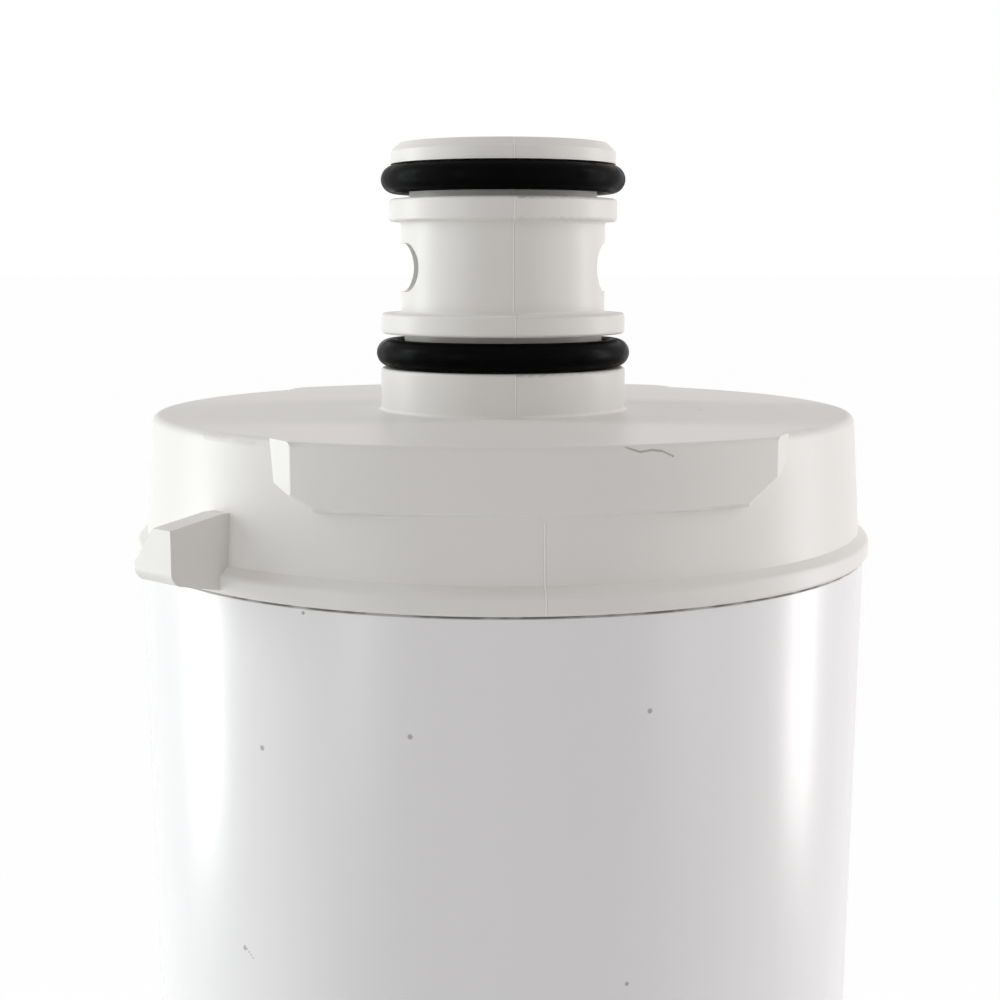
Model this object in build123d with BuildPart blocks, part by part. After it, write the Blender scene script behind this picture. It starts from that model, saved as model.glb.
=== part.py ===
"""Quick-change reverse osmosis membrane cartridge, in millimetres.

The cartridge stands on its base with the spigot up. The origin is the centre of the base and +Z is up.
The cap's mould parted on the YZ plane, and one of its two raised pads faces -Y.

Feed water enters the spigot's side windows, runs down outside the flow divider to the floor of the sump
and rises through the wound membrane. What the membrane rejects leaves through the divider's sleeve, and
the clean water leaves through the stem in the middle of that sleeve.
"""

import os
from math import cos, pi, radians, sin, tan

from build123d import *

# Sump: a deep moulded cup with draft, a foot ring and ribs on its floor.
sump_height = 236.4
sump_draft_deg = 0.7
sump_wall = 2.5
sump_floor = 4.0
sump_corner_radius = 6.0
foot_ring_width = 5.0
foot_recess = 1.2
floor_rib_count = 6
floor_rib_height = 8.0
floor_rib_thickness = 2.0
rim_relief = 0.3

# Head cap: flange, drum and the skirt that is welded into the sump.
flange_step = 1.1
flange_overhang = 0.5
flange_side_height = 1.8
flange_slope_height = 0.8
flange_edge_fillet = 0.6
drum_height = 12.4
drum_radius = 38.0
drum_draft_deg = 3.7
drum_edge_fillet = 0.9
cap_roof = 3.0
skirt_depth = 10.0
skirt_wall = 2.6
weld_clearance = 0.05

# Raised pads, one at the front of the drum and one behind, with slanted ends and cut lower corners.
pad_face_deg = 34.5
pad_root_deg = 39.9
pad_height = 6.3
pad_middle_stand = 0.5
pad_end_stand = 1.7
pad_left_cut_width = 2.1
pad_left_cut_height = 1.3
pad_right_cut_width = 3.1
pad_right_cut_height = 2.4
pad_edge_fillet = 0.4

# Stop lugs, half a turn apart. Angles run from the front, and are negative towards -X.
lug_face_deg = -47.5
lug_length = 5.6
lug_reach = 5.5
lug_drop = 7.4
lug_shelf = 1.5
lug_slope = 0.9
lug_rim_clearance = 0.4
lug_foot_slope = 1.2
lug_foot_fillet = 1.4
lug_ramp_length = 3.5
lug_ramp_drop = 3.0

# Spigot, from the collar on the drum up to the nose.
collar_radius = 13.4
collar_height = 4.6
lower_disc_radius = 13.3
lower_disc_height = 2.2
barrel_radius = 11.1
barrel_height = 9.8
upper_disc_radius = 12.4
upper_disc_height = 2.4
nose_radius = 12.2
nose_height = 2.2
nose_chamfer = 0.9
o_ring_groove_width = 3.7
spigot_bore_radius = 8.5
spigot_edge_fillet = 0.35
window_width = 11.5
window_height = 5.2

# O-rings on the spigot.
spigot_ring_section = 3.0
upper_ring_radius = 13.25
lower_ring_radius = 13.86
upper_ring_rise = 0.25
lower_ring_drop = 0.25
ring_clearance = 0.05

# Flow divider: a sleeve in the spigot, a roof over the membrane and a skirt round its top.
sleeve_radius = 6.5
sleeve_bore_radius = 5.0
divider_collar_height = 5.0
divider_collar_drop = 1.0
divider_ring_section = 1.5
divider_wall = 1.6
feed_gap = 2.1
spacer_count = 4
spacer_start_deg = 45
spacer_height = 3.4
spacer_thickness = 2.0
sliding_clearance = 0.1

# Permeate tube, with drilled holes, and the stem and plug in its two ends.
tube_radius = 8.5
tube_bore_radius = 6.75
tube_hole_radius = 1.2
tube_hole_pitch = 24.0
stem_radius = 3.25
stem_bore_radius = 2.0
stem_recess = 1.0
stem_flange_height = 2.0
stem_plug_depth = 13.0
stem_ring_count = 2
plug_depth = 8.0
plug_head_height = 2.0
tube_ring_section = 1.8
tube_ring_margin = 2.0

# Wound membrane, its outer wrap and the caps on its ends.
roll_turn_pitch = 3.4
roll_turn_gap = 0.7
roll_turn_depth = 0.8
roll_edge_margin = 1.0
spiral_points_per_turn = 8
wrap_thickness = 0.5
wound_clearance = 0.05
bottom_cap_height = 8.0
top_cap_height = 10.0
top_cap_to_roof = 7.4
end_cap_rim = 3.0
end_cap_hub = 2.2
end_cap_plate = 4.0
spoke_count = 6
spoke_thickness = 2.4

# Brine seal: a lip seal in a groove round the top cap.
seal_gap = 2.45
seal_groove_depth = 1.6
seal_groove_height = 5.0
seal_lip_thickness = 0.8

# Heights that follow from the sizes above.
drum_bottom = sump_height + flange_side_height + flange_slope_height
drum_top = drum_bottom + drum_height
collar_top = drum_top + collar_height
lower_disc_bottom = collar_top + o_ring_groove_width
barrel_bottom = lower_disc_bottom + lower_disc_height
barrel_top = barrel_bottom + barrel_height
upper_disc_top = barrel_top + upper_disc_height
nose_bottom = upper_disc_top + o_ring_groove_width
spigot_top = nose_bottom + nose_height
cap_ceiling = drum_top - cap_roof
roof_top = cap_ceiling - spacer_height
roof_bottom = roof_top - divider_wall
element_bottom = sump_floor + floor_rib_height
roll_bottom = element_bottom + bottom_cap_height
element_top = roof_bottom - top_cap_to_roof
roll_top = element_top - top_cap_height
tube_bottom = element_bottom + plug_head_height
tube_top = element_top + stem_flange_height

# Radii that follow from the sizes above, from the drum inwards.
draft_per_mm = tan(radians(sump_draft_deg))
drum_bottom_radius = drum_radius + drum_height * tan(radians(drum_draft_deg))
flange_radius = drum_bottom_radius + flange_step
lug_radius = flange_radius + lug_reach
sump_mouth_radius = flange_radius - flange_overhang
sump_base_radius = sump_mouth_radius - sump_height * draft_per_mm
sump_mouth_bore = sump_mouth_radius - sump_wall
sump_floor_bore = sump_mouth_bore - (sump_height - sump_floor) * draft_per_mm
skirt_radius = sump_mouth_bore - weld_clearance
skirt_foot_radius = skirt_radius - skirt_depth * draft_per_mm
cap_bore_radius = skirt_foot_radius - skirt_wall
mid_drum_wall = (cap_bore_radius + drum_radius) / 2
divider_skirt_radius = cap_bore_radius - feed_gap
divider_skirt_bore = divider_skirt_radius - divider_wall
wrap_radius = divider_skirt_bore - seal_gap
wrap_bore_radius = wrap_radius - wrap_thickness
roll_radius = wrap_bore_radius - wound_clearance
upper_groove_radius = upper_ring_radius - spigot_ring_section - ring_clearance
lower_groove_radius = lower_ring_radius - spigot_ring_section - ring_clearance
divider_collar_radius = spigot_bore_radius - sliding_clearance
hub_bore_radius = tube_radius + wound_clearance
tube_plug_radius = tube_bore_radius - sliding_clearance
seal_bore_radius = wrap_radius - seal_groove_depth + ring_clearance
seal_lip_radius = divider_skirt_bore - sliding_clearance


def in_plan(radius, angle_deg):
    """A point in plan: the angle runs from the front, -Y, and is positive towards +X."""
    return (radius * sin(radians(angle_deg)), -radius * cos(radians(angle_deg)))


def corner(sketch, radius, height):
    """The vertex of a turned section that lies nearest to a radius and a height."""
    return sketch.vertices().sort_by_distance(Vector(radius, height))[0]


def groove_for(ring_section):
    """Depth and width of the groove that a small O-ring of this section sits in."""
    depth = ring_section + 2 * ring_clearance - sliding_clearance
    return depth, ring_section + 2 * sliding_clearance


def spiral_point(turn, offset):
    """A point on the wound leaf, counted in turns from the tube."""
    radius = hub_bore_radius + end_cap_hub + roll_turn_pitch * turn + offset
    return (radius * cos(2 * pi * turn), radius * sin(2 * pi * turn))


# Sump
with BuildPart() as sump:
    with BuildSketch(Plane.XZ) as sump_outline:
        Polygon(
            (0, 0),
            (sump_base_radius, 0),
            (sump_mouth_radius, sump_height - rim_relief),
            (sump_mouth_radius - rim_relief, sump_height),
            (0, sump_height),
            align=None,
        )
        fillet(corner(sump_outline, sump_base_radius, 0), sump_corner_radius)
    revolve(axis=Axis.Z)
    with BuildSketch(Plane.XZ) as sump_hollow:
        Polygon(
            (0, sump_floor),
            (sump_floor_bore, sump_floor),
            (sump_mouth_bore, sump_height),
            (0, sump_height),
            align=None,
        )
        fillet(corner(sump_hollow, sump_floor_bore, sump_floor), sump_corner_radius - sump_wall)
    revolve(axis=Axis.Z, mode=Mode.SUBTRACT)
    with BuildSketch(Plane.XY):
        Circle(sump_base_radius - sump_corner_radius - foot_ring_width)
    extrude(amount=foot_recess, mode=Mode.SUBTRACT)
    with BuildSketch(Plane.XY.offset(sump_floor)):
        with PolarLocations((wrap_radius + tube_radius) / 2, floor_rib_count):
            Rectangle(wrap_radius - tube_radius, floor_rib_thickness)
    extrude(amount=floor_rib_height)
sump.part.label = "sump"

# One raised pad, measured down from the top of the drum
pad_left_corner = in_plan(drum_radius + pad_end_stand, -pad_face_deg)
pad_right_corner = in_plan(drum_radius + pad_end_stand, pad_face_deg)
pad_half_width = pad_right_corner[0]
pad_left_slope = pad_left_cut_height / pad_left_cut_width
pad_right_slope = pad_right_cut_height / pad_right_cut_width
with BuildPart() as pad:
    with BuildSketch(Plane.XY):
        with BuildLine():
            ThreePointArc(pad_left_corner, (0, -drum_radius - pad_middle_stand), pad_right_corner)
            Polyline(
                pad_right_corner,
                in_plan(drum_radius, pad_root_deg),
                in_plan(mid_drum_wall, pad_root_deg),
                in_plan(mid_drum_wall, -pad_root_deg),
                in_plan(drum_radius, -pad_root_deg),
                pad_left_corner,
            )
        make_face()
    extrude(amount=-pad_height)
    with BuildSketch(Plane.XZ):
        Polygon(
            (-drum_radius, 0),
            (-drum_radius, -pad_height + pad_left_slope * (drum_radius - pad_half_width + pad_left_cut_width)),
            (-pad_half_width + pad_left_cut_width, -pad_height),
            (pad_half_width - pad_right_cut_width, -pad_height),
            (drum_radius, -pad_height + pad_right_slope * (drum_radius - pad_half_width + pad_right_cut_width)),
            (drum_radius, 0),
            align=None,
        )
    extrude(amount=2 * drum_radius, mode=Mode.INTERSECT)
    pad_face = pad.faces().filter_by(GeomType.CYLINDER).sort_by(Axis.Y)[0]
    fillet(pad_face.edges(), pad_edge_fillet)

# One stop lug: its square face lies in a radial plane, and it runs back along the drum from there
lug_outward = in_plan(1, lug_face_deg)
lug_run = (-cos(radians(lug_face_deg)), -sin(radians(lug_face_deg)))
lug_foot = sump_height - drum_top + lug_rim_clearance
with BuildPart() as lug:
    with BuildSketch(Plane(origin=(0, 0, 0), x_dir=(*lug_outward, 0), z_dir=(*lug_run, 0))) as lug_outline:
        Polygon(
            (mid_drum_wall, lug_foot),
            (flange_radius, lug_foot),
            (lug_radius, lug_foot + lug_foot_slope),
            (lug_radius, -lug_drop - lug_slope),
            (drum_radius + lug_shelf, -lug_drop),
            (mid_drum_wall, -lug_drop),
            align=None,
        )
        fillet(corner(lug_outline, lug_radius, lug_foot + lug_foot_slope), lug_foot_fillet)
    extrude(amount=lug_length)
    lug_axis = Axis((0, 0, 0), (*lug_run, 0))
    lug_end_edges = lug.faces().sort_by(lug_axis)[-1].edges()
    chamfer(lug_end_edges.sort_by(Axis.Z)[-2:], lug_ramp_drop, lug_ramp_length)

# Head cap: drum, flange, skirt and spigot in one moulding
with BuildPart() as head_cap:
    with BuildSketch(Plane.XZ) as cap_outline:
        Polygon(
            (0, sump_height - skirt_depth),
            (skirt_foot_radius, sump_height - skirt_depth),
            (skirt_radius, sump_height),
            (flange_radius - rim_relief, sump_height),
            (flange_radius, sump_height + rim_relief),
            (flange_radius, sump_height + flange_side_height),
            (drum_bottom_radius, drum_bottom),
            (drum_radius, drum_top),
            (collar_radius, drum_top),
            (collar_radius, collar_top),
            (lower_groove_radius, collar_top),
            (lower_groove_radius, lower_disc_bottom),
            (lower_disc_radius, lower_disc_bottom),
            (lower_disc_radius, barrel_bottom),
            (barrel_radius, barrel_bottom),
            (barrel_radius, barrel_top),
            (upper_disc_radius, barrel_top),
            (upper_disc_radius, upper_disc_top),
            (upper_groove_radius, upper_disc_top),
            (upper_groove_radius, nose_bottom),
            (nose_radius, nose_bottom),
            (nose_radius, spigot_top - nose_chamfer),
            (nose_radius - nose_chamfer, spigot_top),
            (0, spigot_top),
            align=None,
        )
        fillet(corner(cap_outline, drum_radius, drum_top), drum_edge_fillet)
        fillet(corner(cap_outline, flange_radius, sump_height + flange_side_height), flange_edge_fillet)
        for edge_radius, edge_height in (
            (collar_radius, drum_top),
            (collar_radius, collar_top),
            (lower_disc_radius, lower_disc_bottom),
            (lower_disc_radius, barrel_bottom),
            (barrel_radius, barrel_bottom),
            (barrel_radius, barrel_top),
            (upper_disc_radius, barrel_top),
            (upper_disc_radius, upper_disc_top),
        ):
            fillet(corner(cap_outline, edge_radius, edge_height), spigot_edge_fillet)
    revolve(axis=Axis.Z)
    with Locations((0, 0, drum_top)):
        for turn_deg in (0, 180):
            add(pad.part, rotation=(0, 0, turn_deg))
            add(lug.part, rotation=(0, 0, turn_deg))
    with BuildSketch(Plane.XZ):
        Polygon(
            (0, sump_height - skirt_depth),
            (cap_bore_radius, sump_height - skirt_depth),
            (cap_bore_radius, cap_ceiling),
            (spigot_bore_radius, cap_ceiling),
            (spigot_bore_radius, spigot_top),
            (0, spigot_top),
            align=None,
        )
    revolve(axis=Axis.Z, mode=Mode.SUBTRACT)
    with BuildSketch(Plane.YZ):
        with Locations((0, (barrel_bottom + barrel_top) / 2)):
            SlotOverall(window_width, window_height)
    extrude(amount=collar_radius, both=True, mode=Mode.SUBTRACT)
head_cap.part.label = "head_cap"

# O-rings on the spigot: the upper one sits high in its groove and the lower one low
upper_ring_height = (upper_disc_top + nose_bottom) / 2 + upper_ring_rise
lower_ring_height = (collar_top + lower_disc_bottom) / 2 - lower_ring_drop
with BuildPart() as upper_spigot_o_ring:
    with BuildSketch(Plane.XZ):
        with Locations((upper_ring_radius - spigot_ring_section / 2, upper_ring_height)):
            Circle(spigot_ring_section / 2)
    revolve(axis=Axis.Z)
upper_spigot_o_ring.part.label = "upper_spigot_o_ring"

with BuildPart() as lower_spigot_o_ring:
    with BuildSketch(Plane.XZ):
        with Locations((lower_ring_radius - spigot_ring_section / 2, lower_ring_height)):
            Circle(spigot_ring_section / 2)
    revolve(axis=Axis.Z)
lower_spigot_o_ring.part.label = "lower_spigot_o_ring"

# Flow divider, with an O-ring near the top of its sleeve
divider_collar_top = spigot_top - divider_collar_drop
divider_collar_bottom = divider_collar_top - divider_collar_height
divider_ring_height = (divider_collar_top + divider_collar_bottom) / 2
divider_groove_depth, divider_groove_width = groove_for(divider_ring_section)
with BuildPart() as flow_divider:
    with BuildSketch(Plane.XZ):
        Polygon(
            (sleeve_bore_radius, roof_bottom),
            (divider_skirt_bore, roof_bottom),
            (divider_skirt_bore, roll_top),
            (divider_skirt_radius, roll_top),
            (divider_skirt_radius, roof_top),
            (sleeve_radius, roof_top),
            (sleeve_radius, divider_collar_bottom),
            (divider_collar_radius, divider_collar_bottom),
            (divider_collar_radius, divider_collar_top),
            (sleeve_bore_radius, divider_collar_top),
            align=None,
        )
    revolve(axis=Axis.Z)
    with BuildSketch(Plane.XZ):
        with Locations((divider_collar_radius, divider_ring_height)):
            Rectangle(2 * divider_groove_depth, divider_groove_width)
    revolve(axis=Axis.Z, mode=Mode.SUBTRACT)
    with BuildSketch(Plane.XY.offset(roof_top)):
        spacer_middle = (divider_skirt_bore + spigot_bore_radius) / 2
        with PolarLocations(spacer_middle, spacer_count, start_angle=spacer_start_deg):
            Rectangle((divider_skirt_bore - spigot_bore_radius) / 2, spacer_thickness)
    extrude(amount=spacer_height)
flow_divider.part.label = "flow_divider"

with BuildPart() as divider_o_ring:
    with BuildSketch(Plane.XZ):
        ring_outer_radius = spigot_bore_radius - ring_clearance
        with Locations((ring_outer_radius - divider_ring_section / 2, divider_ring_height)):
            Circle(divider_ring_section / 2)
    revolve(axis=Axis.Z)
divider_o_ring.part.label = "divider_o_ring"

# Permeate tube
tube_ring_depth, tube_ring_width = groove_for(tube_ring_section)
with BuildPart() as permeate_tube:
    with BuildSketch(Plane.XY.offset(tube_bottom)):
        Circle(tube_radius)
        Circle(tube_bore_radius, mode=Mode.SUBTRACT)
    extrude(amount=tube_top - tube_bottom)
    hole_rows = int((roll_top - roll_bottom) / tube_hole_pitch)
    for row in range(hole_rows):
        row_height = (roll_top + roll_bottom) / 2 + (row - (hole_rows - 1) / 2) * tube_hole_pitch
        row_plane = (Plane.XZ, Plane.YZ)[row % 2]
        with BuildSketch(row_plane):
            with Locations((0, row_height)):
                Circle(tube_hole_radius)
        extrude(amount=2 * tube_radius, both=True, mode=Mode.SUBTRACT)
permeate_tube.part.label = "permeate_tube"

# Permeate stem: a plug with two O-rings in the tube, and a slim pipe up to the nose
stem_top = spigot_top - stem_recess
stem_ring_step = tube_ring_width + tube_ring_margin
stem_ring_heights = [tube_top - tube_ring_margin - (i + 0.5) * stem_ring_step for i in range(stem_ring_count)]
with BuildPart() as permeate_stem:
    with BuildSketch(Plane.XZ):
        Polygon(
            (stem_bore_radius, tube_top - stem_plug_depth),
            (tube_plug_radius, tube_top - stem_plug_depth),
            (tube_plug_radius, tube_top),
            (tube_radius, tube_top),
            (tube_radius, tube_top + stem_flange_height),
            (stem_radius, tube_top + stem_flange_height),
            (stem_radius, stem_top),
            (stem_bore_radius, stem_top),
            align=None,
        )
    revolve(axis=Axis.Z)
    with BuildSketch(Plane.XZ):
        with Locations(*[(tube_plug_radius, height) for height in stem_ring_heights]):
            Rectangle(2 * tube_ring_depth, tube_ring_width)
    revolve(axis=Axis.Z, mode=Mode.SUBTRACT)
permeate_stem.part.label = "permeate_stem"

tube_ring_centre = tube_bore_radius - ring_clearance - tube_ring_section / 2
with BuildPart() as stem_o_rings:
    with BuildSketch(Plane.XZ):
        with Locations(*[(tube_ring_centre, height) for height in stem_ring_heights]):
            Circle(tube_ring_section / 2)
    revolve(axis=Axis.Z)
stem_o_rings.part.label = "stem_o_rings"

# Plug that closes the lower end of the tube, with its O-ring
plug_ring_height = tube_bottom + plug_depth / 2
with BuildPart() as tube_plug:
    with BuildSketch(Plane.XZ):
        Polygon(
            (0, element_bottom),
            (tube_radius, element_bottom),
            (tube_radius, tube_bottom),
            (tube_plug_radius, tube_bottom),
            (tube_plug_radius, tube_bottom + plug_depth),
            (0, tube_bottom + plug_depth),
            align=None,
        )
    revolve(axis=Axis.Z)
    with BuildSketch(Plane.XZ):
        with Locations((tube_plug_radius, plug_ring_height)):
            Rectangle(2 * tube_ring_depth, tube_ring_width)
    revolve(axis=Axis.Z, mode=Mode.SUBTRACT)
tube_plug.part.label = "tube_plug"

with BuildPart() as plug_o_ring:
    with BuildSketch(Plane.XZ):
        with Locations((tube_ring_centre, plug_ring_height)):
            Circle(tube_ring_section / 2)
    revolve(axis=Axis.Z)
plug_o_ring.part.label = "plug_o_ring"

# Wound membrane: the ends of its turns show as a spiral in each end face
spiral_room = roll_radius - roll_edge_margin - roll_turn_gap - hub_bore_radius - end_cap_hub
spiral_turns = int(spiral_room / roll_turn_pitch)
spiral_steps = [i / spiral_points_per_turn for i in range(spiral_points_per_turn * spiral_turns + 1)]
with BuildPart() as membrane_roll:
    with BuildSketch(Plane.XY.offset(roll_bottom)):
        Circle(roll_radius)
        Circle(hub_bore_radius, mode=Mode.SUBTRACT)
    extrude(amount=roll_top - roll_bottom)
    for end_height, cut_depth in ((roll_bottom, roll_turn_depth), (roll_top, -roll_turn_depth)):
        with BuildSketch(Plane.XY.offset(end_height)):
            with BuildLine():
                inner = Spline(*[spiral_point(step, 0) for step in spiral_steps])
                outer = Spline(*[spiral_point(step, roll_turn_gap) for step in spiral_steps])
                Line(inner @ 0, outer @ 0)
                Line(inner @ 1, outer @ 1)
            make_face()
        extrude(amount=cut_depth, mode=Mode.SUBTRACT)
membrane_roll.part.label = "membrane_roll"

with BuildPart() as outer_wrap:
    with BuildSketch(Plane.XY.offset(roll_bottom)):
        Circle(wrap_radius)
        Circle(wrap_bore_radius, mode=Mode.SUBTRACT)
    extrude(amount=roll_top - roll_bottom)
outer_wrap.part.label = "outer_wrap"

# End caps: a rim, a hub and spokes hold the turns in place and let the water through
with BuildPart() as top_end_cap:
    with BuildSketch(Plane.XY.offset(roll_top)):
        Circle(wrap_radius)
        Circle(wrap_radius - end_cap_rim, mode=Mode.SUBTRACT)
        Circle(hub_bore_radius + end_cap_hub)
        Circle(hub_bore_radius, mode=Mode.SUBTRACT)
    extrude(amount=top_cap_height)
    with BuildSketch(Plane.XY.offset(roll_top)):
        spoke_start = hub_bore_radius + end_cap_hub / 2
        spoke_end = wrap_radius - end_cap_rim + end_cap_rim / 4
        with PolarLocations((spoke_start + spoke_end) / 2, spoke_count):
            Rectangle(spoke_end - spoke_start, spoke_thickness)
    extrude(amount=end_cap_plate)
    seal_height = roll_top + top_cap_height / 2
    with BuildSketch(Plane.XZ):
        with Locations((wrap_radius, seal_height)):
            Rectangle(2 * seal_groove_depth, seal_groove_height)
    revolve(axis=Axis.Z, mode=Mode.SUBTRACT)
top_end_cap.part.label = "top_end_cap"

with BuildPart() as bottom_end_cap:
    with BuildSketch(Plane.XY.offset(element_bottom)):
        Circle(wrap_radius)
        Circle(wrap_radius - end_cap_rim, mode=Mode.SUBTRACT)
        Circle(hub_bore_radius + end_cap_hub)
        Circle(hub_bore_radius, mode=Mode.SUBTRACT)
    extrude(amount=bottom_cap_height)
    with BuildSketch(Plane.XY.offset(roll_bottom - end_cap_plate)):
        with PolarLocations((spoke_start + spoke_end) / 2, spoke_count):
            Rectangle(spoke_end - spoke_start, spoke_thickness)
    extrude(amount=end_cap_plate)
bottom_end_cap.part.label = "bottom_end_cap"

# Brine seal: a lip that leans out and down against the divider's skirt
seal_foot = seal_height - seal_groove_height / 2 + ring_clearance
seal_crown = seal_height + seal_groove_height / 2 - ring_clearance
with BuildPart() as brine_seal:
    with BuildSketch(Plane.XZ):
        Polygon(
            (seal_bore_radius, seal_foot),
            (seal_bore_radius + seal_lip_thickness, seal_foot),
            (seal_bore_radius + seal_lip_thickness, seal_crown - 2 * seal_lip_thickness),
            (seal_lip_radius - seal_lip_thickness, seal_foot),
            (seal_lip_radius, seal_foot),
            (seal_lip_radius - seal_lip_thickness, seal_crown),
            (seal_bore_radius, seal_crown),
            align=None,
        )
    revolve(axis=Axis.Z)
brine_seal.part.label = "brine_seal"

pieces = [
    sump,
    head_cap,
    upper_spigot_o_ring,
    lower_spigot_o_ring,
    flow_divider,
    divider_o_ring,
    permeate_tube,
    permeate_stem,
    stem_o_rings,
    tube_plug,
    plug_o_ring,
    membrane_roll,
    outer_wrap,
    top_end_cap,
    bottom_end_cap,
    brine_seal,
]
os.makedirs("parts", exist_ok=True)
for piece in pieces:
    export_step(piece.part, f"parts/{piece.part.label}.step")
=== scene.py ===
# %% [markdown]
# # A quick-change reverse osmosis cartridge
#
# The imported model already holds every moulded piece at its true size: the tapered sump, the head cap with
# its spigot, the O-rings and the wound membrane inside. This lesson dresses that model. It sets up the
# camera and a studio, adds the fine traces that moulding leaves behind, and gives each piece a finish that
# is made from shader nodes alone.

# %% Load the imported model
import math

import bpy
from mathutils import Matrix, Vector


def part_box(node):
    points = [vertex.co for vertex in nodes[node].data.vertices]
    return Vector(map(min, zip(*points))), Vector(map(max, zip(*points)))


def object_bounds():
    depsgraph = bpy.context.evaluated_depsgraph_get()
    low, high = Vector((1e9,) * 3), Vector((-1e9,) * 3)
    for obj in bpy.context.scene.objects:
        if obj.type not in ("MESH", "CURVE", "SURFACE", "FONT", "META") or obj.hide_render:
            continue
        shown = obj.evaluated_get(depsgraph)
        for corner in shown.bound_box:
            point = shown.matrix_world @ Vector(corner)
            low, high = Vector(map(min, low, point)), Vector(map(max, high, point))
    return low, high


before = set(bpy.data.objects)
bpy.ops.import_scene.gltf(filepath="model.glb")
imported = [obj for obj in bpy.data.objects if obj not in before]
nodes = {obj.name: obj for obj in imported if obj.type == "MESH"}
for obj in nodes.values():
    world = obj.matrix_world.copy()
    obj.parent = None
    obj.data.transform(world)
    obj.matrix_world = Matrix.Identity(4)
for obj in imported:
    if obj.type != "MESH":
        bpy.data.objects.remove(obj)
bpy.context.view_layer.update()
scene = bpy.context.scene
scene.view_settings.view_transform = "Standard"
MM = 0.001
print("pieces in the frame:", sorted(nodes))

# %% [markdown]
# ## Where things are
#
# A few heights and radii are read from the boxes of the pieces, so that the traces and finishes below stay
# on their pieces. Angles run from the front of the cartridge, -Y, and are positive towards +X.

# %% Heights and radii read from the frame
BASE_Z, SPIGOT_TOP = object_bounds()[0].z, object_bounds()[1].z
SUMP_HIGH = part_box("sump")[1]
RIM_Z = SUMP_HIGH.z
SUMP_MOUTH_RADIUS = SUMP_HIGH.x
SUMP_DRAFT = math.tan(math.radians(0.7))
SPIGOT_HEIGHT = 28.6 * MM
DRUM_TOP = SPIGOT_TOP - SPIGOT_HEIGHT
PAD_FACE_RADIUS = 46.61 * MM
PAD_FACE_CENTRE = 8.11 * MM


def around(radius, degrees, height):
    """A point at a radius and a height, at an angle from the front of the cartridge."""
    angle = math.radians(degrees)
    return Vector((radius * math.sin(angle), -radius * math.cos(angle), height))


print("rim at", round(RIM_Z / MM, 2), "mm, top of the drum at", round(DRUM_TOP / MM, 2), "mm")

# %% [markdown]
# ## The camera
#
# The photograph was taken from close by, a little below the top of the spigot and looking slightly down.
# The drum's curved edges give the distance and the lens. The cap's mould seam shows right of the middle, so
# the camera stands a few degrees towards the seam's left. The cartridge's axis is not quite in the middle of
# the picture, which is a small turn of the camera.

# %% Place the camera
IMAGE_SIZE = 1000
FOCAL_PIXELS = 1652
AXIS_PIXEL = 503
HORIZON_PIXEL = 260
CAMERA_TURN = -5.5
CAMERA_DISTANCE = 182.4 * MM
CAMERA_HEIGHT = SPIGOT_TOP - 12.4 * MM

camera_spot = around(CAMERA_DISTANCE, CAMERA_TURN, CAMERA_HEIGHT)
camera_pitch = math.atan((IMAGE_SIZE / 2 - HORIZON_PIXEL) / FOCAL_PIXELS)
camera_yaw = math.atan((AXIS_PIXEL - IMAGE_SIZE / 2) / FOCAL_PIXELS)
level_ahead = Matrix.Rotation(camera_yaw, 3, "Z") @ around(-1, CAMERA_TURN, 0)
camera_ahead = level_ahead * math.cos(camera_pitch) - Vector((0, 0, math.sin(camera_pitch)))
camera_right = camera_ahead.cross(Vector((0, 0, 1))).normalized()
camera_up = camera_right.cross(camera_ahead)

bpy.ops.object.camera_add(location=camera_spot)
camera = bpy.context.object
camera.rotation_euler = Matrix((camera_right, camera_up, -camera_ahead)).transposed().to_euler()
camera.data.sensor_width = 36
camera.data.lens = 36 * FOCAL_PIXELS / IMAGE_SIZE
camera.data.clip_start = 0.005
scene.camera = camera


def sight(pixel):
    """The direction from the camera through a pixel of the photograph."""
    across = (pixel[0] - IMAGE_SIZE / 2) / FOCAL_PIXELS
    down = (pixel[1] - IMAGE_SIZE / 2) / FOCAL_PIXELS
    return camera_ahead + camera_right * across - camera_up * down


def seen_on_level(pixel, height):
    """The point on a level plane that the camera sees at a pixel."""
    ray = sight(pixel)
    return camera_spot + ray * ((height - camera_spot.z) / ray.z)


def seen_on_cone(pixel, radius_at_rim):
    """The point that the camera sees at a pixel on a wall that tapers down from the rim as the sump does."""
    ray = sight(pixel)
    travel = (Vector((ray.x, ray.y)).dot(Vector((-camera_spot.x, -camera_spot.y)))) / (ray.x**2 + ray.y**2)
    travel -= radius_at_rim
    for _ in range(40):
        spot = camera_spot + ray * travel
        wall = radius_at_rim - (RIM_Z - spot.z) * SUMP_DRAFT
        travel += (Vector((spot.x, spot.y)).length - wall) * 0.8
    return camera_spot + ray * travel


def seen_on_pad(pixel):
    """The point that the camera sees at a pixel on the front pad, whose face is flatter than the drum."""
    ray = sight(pixel)
    level_ray = Vector((ray.x, ray.y))
    back = Vector((camera_spot.x, camera_spot.y - PAD_FACE_CENTRE))
    half = level_ray.dot(back) / level_ray.length_squared
    rest = (back.length_squared - PAD_FACE_RADIUS**2) / level_ray.length_squared
    return camera_spot + ray * (-half - math.sqrt(half**2 - rest))


print("lens", round(camera.data.lens, 1), "mm, looking down", round(math.degrees(camera_pitch), 2), "degrees")

# %% [markdown]
# ## The studio
#
# Two tall strip lights stand beside the cartridge, a little behind it. They draw the narrow upright
# highlights on both sides of the sump and leave the middle greyer. Two weak fills stand in front, the left
# one stronger, so that the walls darken smoothly towards the middle. An even white world does the rest. The
# floor is pale and keeps a soft shadow; the camera sees the world and most of the floor as white, as in a
# catalogue picture.

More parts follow.
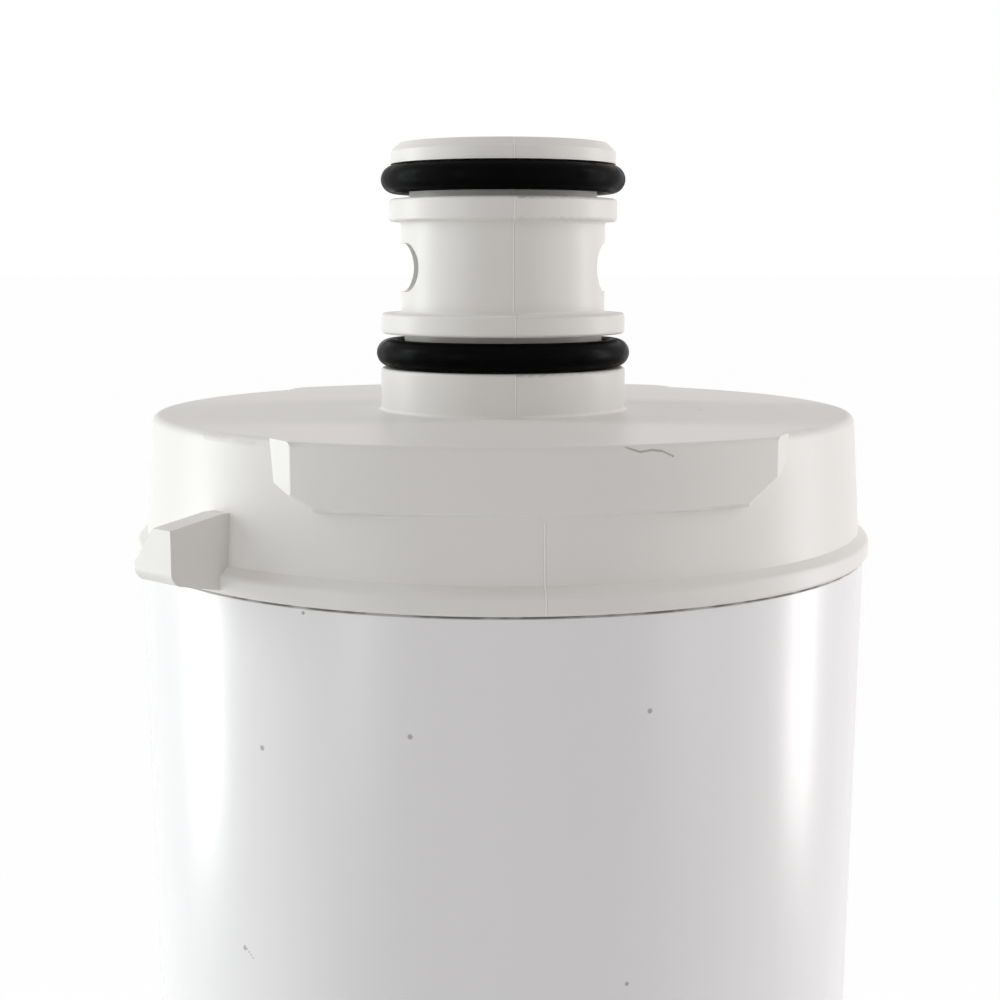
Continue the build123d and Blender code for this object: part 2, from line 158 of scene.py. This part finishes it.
# %% Light the cartridge
STRIP_DISTANCE = 0.62
STRIP_SIZE = (0.16, 0.95)
FILL_DISTANCE = 0.7
FILL_SIZE = (0.14, 0.95)
STUDIO = [
    ("left_strip", -102, STRIP_DISTANCE, STRIP_SIZE, 4.2, (0.95, 1.0, 1.0)),
    ("right_strip", 102, STRIP_DISTANCE, STRIP_SIZE, 3.2, (1.0, 0.98, 0.98)),
    ("left_fill", -42, FILL_DISTANCE, FILL_SIZE, 1.05, (0.97, 1.0, 1.0)),
    ("right_fill", 54, FILL_DISTANCE, FILL_SIZE, 0.5, (1.0, 0.98, 0.97)),
]
MIDDLE = Vector((0, 0, 0.21))

for name, turn, distance, size, power, colour in STUDIO:
    light_spot = around(distance, CAMERA_TURN + turn, MIDDLE.z)
    bpy.ops.object.light_add(type="AREA", location=light_spot)
    light = bpy.context.object
    light.name = name
    light.rotation_euler = (MIDDLE - light_spot).to_track_quat("-Z", "Y").to_euler()
    light.data.shape = "RECTANGLE"
    light.data.size, light.data.size_y = size
    light.data.energy = power
    light.data.color = colour
print("lights:", [entry[0] for entry in STUDIO])

# %% [markdown]
# ## Shader maths
#
# A finish is easier to read as a sum than as a drawing of boxes. A Wire is one output socket, and adding or
# multiplying wires adds Math nodes. A Finish is one material: its add method makes any node, sets what the
# node needs and links or fills its sockets.


# %% A small kit for finishes
def tint(red, green, blue):
    """A colour as a painter's program gives it, from 0 to 255, made linear for the shader."""
    linear = [((c / 255 + 0.055) / 1.055) ** 2.4 if c > 10 else c / 255 / 12.92 for c in (red, green, blue)]
    return (*linear, 1.0)


class Wire:
    """One output socket, with the operators of ordinary arithmetic."""

    def __init__(self, finish, socket):
        self.finish = finish
        self.socket = socket

    def out(self, name):
        """Another output of the same node."""
        return Wire(self.finish, self.socket.node.outputs[name])

    def math(self, operation, *values):
        """A Math node on these values."""
        return self.finish.add("ShaderNodeMath", {"operation": operation}, dict(enumerate(values)))

    def __add__(self, other):
        return self.math("ADD", self, other)

    def __radd__(self, other):
        return self.math("ADD", other, self)

    def __sub__(self, other):
        return self.math("SUBTRACT", self, other)

    def __rsub__(self, other):
        return self.math("SUBTRACT", other, self)

    def __mul__(self, other):
        return self.math("MULTIPLY", self, other)

    def __rmul__(self, other):
        return self.math("MULTIPLY", other, self)

    def __truediv__(self, other):
        return self.math("DIVIDE", self, other)

    def __abs__(self):
        return self.math("ABSOLUTE", self)


class Finish:
    """One material, built node by node around a Principled shader."""

    def __init__(self, name, **sockets):
        self.material = bpy.data.materials.new(name)
        self.material.use_nodes = True
        self.tree = self.material.node_tree
        self.shader = self.tree.nodes["Principled BSDF"]
        for socket, value in sockets.items():
            self.shader.inputs[socket.replace("_", " ").title().replace("Ior", "IOR")].default_value = value
        place = self.add("ShaderNodeTexCoord").out("Object")
        self.place = self.add("ShaderNodeVectorMath", {"operation": "SCALE"}, {"Vector": place, "Scale": 1 / MM})
        self.x, self.y, self.z = self.split(self.place)

    def add(self, kind, settings=None, values=None, out=0):
        """Any node: its settings first, then the values or wires of its sockets."""
        node = self.tree.nodes.new(kind)
        for name, setting in (settings or {}).items():
            setattr(node, name, setting)
        for name, value in (values or {}).items():
            if isinstance(value, Wire):
                self.tree.links.new(value.socket, node.inputs[name])
            else:
                node.inputs[name].default_value = value
        return Wire(self, node.outputs[out])

    def feed(self, socket, wire):
        """Link a wire to a socket of the shader."""
        self.tree.links.new(wire.socket, self.shader.inputs[socket])

    def split(self, vector):
        """The three parts of a vector."""
        parts = self.add("ShaderNodeSeparateXYZ", None, {"Vector": vector})
        return parts.out("X"), parts.out("Y"), parts.out("Z")

    def noise(self, size, detail=2.0, stretch=(1, 1, 1)):
        """Cloudy noise with grains of a size in millimetres, drawn out along an axis by its stretch."""
        scale = tuple(1 / (size * s) for s in stretch)
        spot = self.add("ShaderNodeVectorMath", {"operation": "MULTIPLY"}, {0: self.place, 1: scale})
        return self.add("ShaderNodeTexNoise", None, {"Vector": spot, "Scale": 1.0, "Detail": detail})

    def ramp(self, value, low, high, start=0.0, end=1.0):
        """A smooth step: start below low, end above high."""
        values = {"Value": value, "From Min": low, "From Max": high, "To Min": start, "To Max": end}
        return self.add("ShaderNodeMapRange", {"interpolation_type": "SMOOTHSTEP"}, values)

    def blend(self, factor, below, above):
        """A colour between two colours."""
        values = {0: factor, 6: below, 7: above}
        return self.add("ShaderNodeMix", {"data_type": "RGBA"}, values, out=2)

    def spot(self, centre, radius, soft=0.6):
        """1 inside a small ball and 0 outside it. The centre is in metres and the radius in millimetres."""
        values = {0: self.place, 1: tuple(centre / MM)}
        gap = self.add("ShaderNodeVectorMath", {"operation": "DISTANCE"}, values, out="Value")
        return self.ramp(gap, radius * soft, radius, 1.0, 0.0)

    def relief(self, height, depth):
        """Raise or sink the surface by a height from 0 to 1, times a depth in millimetres."""
        values = {"Height": height, "Distance": depth * MM, "Strength": 1.0}
        self.feed("Normal", self.add("ShaderNodeBump", None, values))

    def paint(self, *names):
        """Put this finish on pieces of the frame."""
        for name in names:
            nodes[name].data.materials.clear()
            nodes[name].data.materials.append(self.material)


def greatest(*wires):
    """The largest of several wires."""
    top = wires[0]
    for wire in wires[1:]:
        top = top.math("MAXIMUM", top, wire)
    return top


# %% [markdown]
# ## The white world and the floor
#
# The world lights the cartridge evenly. The camera and shiny surfaces see it as plain white, and the wide
# floor too, so that no horizon line shows and reflections show the same white background.

# %% Make the world and the floor
WORLD_LEVEL = 0.49
WORLD_TINT = (1.0, 0.975, 0.965, 1.0)
FLOOR_SIZE = 60.0
FLOOR_WHITE = 0.8
FLOOR_GLOW = 0.98

world = bpy.data.worlds.new("white_studio")
scene.world = world
world.use_nodes = True
sky = world.node_tree
paths = sky.nodes.new("ShaderNodeLightPath")
seen = sky.nodes.new("ShaderNodeMath")
seen.operation = "MAXIMUM"
sky.links.new(paths.outputs["Is Camera Ray"], seen.inputs[0])
sky.links.new(paths.outputs["Is Transmission Ray"], seen.inputs[1])
seen_white = sky.nodes.new("ShaderNodeMath")
seen_white.operation = "MAXIMUM"
sky.links.new(seen.outputs[0], seen_white.inputs[0])
sky.links.new(paths.outputs["Is Glossy Ray"], seen_white.inputs[1])
level = sky.nodes.new("ShaderNodeMapRange")
level.inputs["To Min"].default_value = WORLD_LEVEL
level.inputs["To Max"].default_value = 1.0
sky.links.new(seen_white.outputs[0], level.inputs["Value"])
sky.links.new(level.outputs[0], sky.nodes["Background"].inputs["Strength"])
white = sky.nodes.new("ShaderNodeMix")
white.data_type = "RGBA"
white.inputs[6].default_value = WORLD_TINT
white.inputs[7].default_value = (1, 1, 1, 1)
sky.links.new(paths.outputs["Is Camera Ray"], white.inputs[0])
sky.links.new(white.outputs[2], sky.nodes["Background"].inputs["Color"])

bpy.ops.mesh.primitive_plane_add(size=FLOOR_SIZE, location=(0, 0, BASE_Z))
floor = bpy.context.object
floor.name = "studio_floor"
floor_finish = Finish("pale_floor", roughness=0.9)
floor_finish.shader.inputs["Base Color"].default_value = (FLOOR_WHITE, FLOOR_WHITE, FLOOR_WHITE, 1)
floor_path = floor_finish.add("ShaderNodeLightPath")
floor_rays = [floor_path.out(ray) for ray in ("Is Camera Ray", "Is Glossy Ray", "Is Transmission Ray")]
glow = floor_finish.add("ShaderNodeEmission", None, {"Color": (1, 1, 1, 1), "Strength": 1.0})
floor_mix = floor_finish.add(
    "ShaderNodeMixShader",
    None,
    {0: greatest(*floor_rays) * FLOOR_GLOW, 1: Wire(floor_finish, floor_finish.shader.outputs[0]), 2: glow},
)
floor_out = floor_finish.tree.nodes["Material Output"]
floor_finish.tree.links.new(floor_mix.socket, floor_out.inputs["Surface"])
floor.data.materials.append(floor_finish.material)
print("studio ready")

# %% [markdown]
# ## Cool white sump
#
# The sump is injection-moulded polypropylene: cool white, glossy, with a faint cloudiness where the melt
# flowed up the wall. Small dark specks are caught in the plastic, and there is one short scratch low on the
# left. Each mark is placed where the photograph shows it, by the sight line through its pixel. A thin broken
# dark line of painted shade sits on the rim, in the groove under the flange where the joint lies in shadow.

# %% Finish the sump
SUMP_SPECKS = [
    ((262, 748), 0.32),
    ((410, 737), 0.3),
    ((650, 711), 0.3),
    ((627, 984), 0.25),
    ((245, 948), 0.28),
    ((303, 613), 0.22),
]
SCRATCH_ENDS = ((245, 946), (253, 958))

sump_finish = Finish("cool_white_sump", ior=1.49)
flow = sump_finish.noise(16, detail=3, stretch=(1, 1, 4))
specks = [sump_finish.spot(seen_on_cone(p, SUMP_MOUTH_RADIUS), r) for p, r in SUMP_SPECKS]
scratch_ends = [seen_on_cone(p, SUMP_MOUTH_RADIUS) for p in SCRATCH_ENDS]
scratch = [
    sump_finish.spot(scratch_ends[0].lerp(scratch_ends[1], step / 4), 0.16) * 0.6 for step in range(5)
]
# Painted shade: a thin band on the rim, broken by noise, darkened where the groove under the flange is shaded.
groove_shade_height = abs(sump_finish.z - (RIM_Z / MM - 0.1))
groove_shade_breaks = sump_finish.ramp(sump_finish.noise(3.5), 0.36, 0.56, 0.35, 1)
painted_groove_shade = sump_finish.ramp(groove_shade_height, 0.08, 0.26, 1, 0) * groove_shade_breaks
body = sump_finish.blend(flow, tint(226, 225, 226), tint(231, 230, 231))
marked = sump_finish.blend(greatest(*specks, *scratch) * 0.55, body, tint(96, 92, 90))
# The dark brown here is painted shade in the groove under the flange.
sump_finish.feed("Base Color", sump_finish.blend(painted_groove_shade * 0.75, marked, tint(70, 62, 55)))
sump_finish.feed("Roughness", sump_finish.ramp(sump_finish.noise(2.2, 4), 0.3, 0.7, 0.245, 0.262))
sump_finish.relief(sump_finish.noise(12, 1, (1, 1, 4)), 0.03)
sump_finish.paint("sump")

# %% [markdown]
# ## Warm white head cap
#
# The cap came from another mould and another batch: its white is a little warmer, and its gloss is
# softer than the sump's. A few specks lie on the top, and a dark hair lies on the
# front pad, close under its top edge. The two halves of the mould met on the YZ plane, so a fine raised seam
# runs up the front and the back of the flange, the drum below the pads and the spigot. Along the seam the colour
# is painted
# lighter: a painted highlight where the ridge would catch the light, over the real raised bump.

# %% Finish the head cap
CAP_SPECKS = [((305, 397), 0.22), ((700, 410), 0.26), ((720, 408), 0.2)]
HAIR_PIXELS = [(617, 443), (628, 448), (640, 452), (652, 450), (662, 451), (675, 457)]
HAIR_RADIUS = 0.13
PAD_HEIGHT = 6.3
SEAM_HALF_WIDTH = 0.14

cap_finish = Finish("warm_white_cap", ior=1.5, specular_ior_level=0.2)
cloud = cap_finish.noise(7, detail=3)
cap_specks = [cap_finish.spot(seen_on_level(p, DRUM_TOP), r) for p, r in CAP_SPECKS]
hair_points = [seen_on_pad(p) for p in HAIR_PIXELS]
hair = []
for start, end in zip(hair_points, hair_points[1:]):
    hair += [cap_finish.spot(start.lerp(end, step / 6), HAIR_RADIUS) for step in range(6)]
drum_top_mm = DRUM_TOP / MM
pad_foot_mm = drum_top_mm - PAD_HEIGHT
below_pads = cap_finish.ramp(cap_finish.z, pad_foot_mm - 0.7, pad_foot_mm - 0.3, 1, 0)
on_spigot = cap_finish.ramp(cap_finish.z, drum_top_mm + 0.3, drum_top_mm + 0.6)
seam_line = cap_finish.ramp(abs(cap_finish.x), SEAM_HALF_WIDTH / 2, SEAM_HALF_WIDTH, 1, 0)
seam = seam_line * greatest(below_pads, on_spigot)
cap_body = cap_finish.blend(cloud, tint(224, 222, 219), tint(227, 225, 222))
# Painted highlight: the colour is made lighter along the seam, where its raised ridge would catch the light; the
# ridge itself is the bump below.
cap_with_seam_highlight = cap_finish.blend(seam * 0.7, cap_body, tint(244, 243, 240))
cap_marks = greatest(*cap_specks, *hair) * 0.6
cap_finish.feed("Base Color", cap_finish.blend(cap_marks, cap_with_seam_highlight, tint(120, 112, 104)))
cap_finish.feed("Roughness", cap_finish.ramp(cap_finish.noise(1.6, 4), 0.3, 0.7, 0.36, 0.38))
cap_finish.relief(cap_finish.noise(9, 1) * 0.2 + seam, 0.06)
cap_finish.paint("head_cap")

# %% [markdown]
# ## Black rubber seals
#
# The O-rings are black rubber with a film of grease: mostly matt, with a soft broken gleam.

# %% Finish the seals
rubber = Finish("black_seal_rubber", specular_ior_level=0.02)
smear = rubber.noise(2.4, 4)
rubber.feed("Base Color", rubber.blend(smear, tint(3, 3, 4), tint(9, 9, 10)))
rubber.feed("Roughness", rubber.ramp(smear, 0.35, 0.7, 0.28, 0.5))
rubber.relief(rubber.noise(0.5, 3), 0.012)
rubber.paint(
    "upper_spigot_o_ring",
    "lower_spigot_o_ring",
    "divider_o_ring",
    "stem_o_rings",
    "plug_o_ring",
    "brine_seal",
)

# %% [markdown]
# ## The pieces inside
#
# Inside are natural white mouldings, a drilled tube, dark end caps and the wound membrane. Its end faces
# show the turns of membrane sheet and spacer net as a fine spiral, drawn from the radius and the angle.

# %% Finish the inner mouldings
inner = Finish("natural_moulding", ior=1.49)
inner_cloud = inner.noise(4, 3)
inner.feed("Base Color", inner.blend(inner_cloud, tint(214, 213, 206), tint(224, 223, 218)))
inner.feed("Roughness", inner.ramp(inner.noise(1.2, 3), 0.3, 0.7, 0.35, 0.5))
inner.relief(inner.noise(0.8, 2), 0.012)
inner.paint("flow_divider", "permeate_stem", "tube_plug")

tube = Finish("drilled_tube", ior=1.5)
die_lines = tube.noise(1.0, 2, (1, 1, 60))
tube.feed("Base Color", tube.blend(die_lines, tint(226, 222, 208), tint(232, 229, 218)))
tube.feed("Roughness", tube.ramp(die_lines, 0.3, 0.7, 0.3, 0.45))
tube.relief(die_lines, 0.015)
tube.paint("permeate_tube")

end_caps = Finish("dark_end_cap", ior=1.5)
grain = end_caps.noise(0.7, 3)
end_caps.feed("Base Color", end_caps.blend(grain, tint(44, 46, 50), tint(58, 60, 64)))
end_caps.feed("Roughness", end_caps.ramp(grain, 0.3, 0.7, 0.45, 0.6))
end_caps.relief(grain, 0.02)
end_caps.paint("top_end_cap", "bottom_end_cap")

# %% Finish the membrane and its wrap
LEAF_PITCH = 0.85
NET_PITCH = 1.6

leaf = Finish("wound_membrane", ior=1.45)
radius = (leaf.x * leaf.x + leaf.y * leaf.y).math("SQRT", leaf.x * leaf.x + leaf.y * leaf.y)
turn = leaf.x.math("ARCTAN2", leaf.y, leaf.x) / (2 * math.pi)
winding = (radius / LEAF_PITCH - turn).math("FRACT", radius / LEAF_PITCH - turn)
sheet = leaf.ramp(abs(winding - 0.5), 0.22, 0.32)
fuzz = leaf.noise(0.9, 3)
leaf_body = leaf.blend(sheet, tint(196, 190, 170), tint(232, 229, 219))
leaf.feed("Base Color", leaf.blend(fuzz * 0.4, leaf_body, tint(178, 172, 152)))
leaf.feed("Roughness", leaf.ramp(fuzz, 0.3, 0.7, 0.55, 0.75))
leaf.relief(sheet * 0.7 + fuzz * 0.3, 0.15)
leaf.paint("membrane_roll")

wrap = Finish("wrap_film", ior=1.5)
lap_phase = wrap.z / 38 + wrap.x.math("ARCTAN2", wrap.y, wrap.x) / (2 * math.pi)
lap = wrap.ramp(lap_phase.math("FRACT", lap_phase), 0.0, 0.06, 1, 0)
wrap.feed("Base Color", wrap.blend(lap, tint(212, 217, 222), tint(190, 197, 205)))
wrap.feed("Roughness", wrap.ramp(wrap.noise(3, 3), 0.3, 0.7, 0.2, 0.35))
wrap.relief(lap, 0.08)
wrap.paint("outer_wrap")
print("finishes ready")
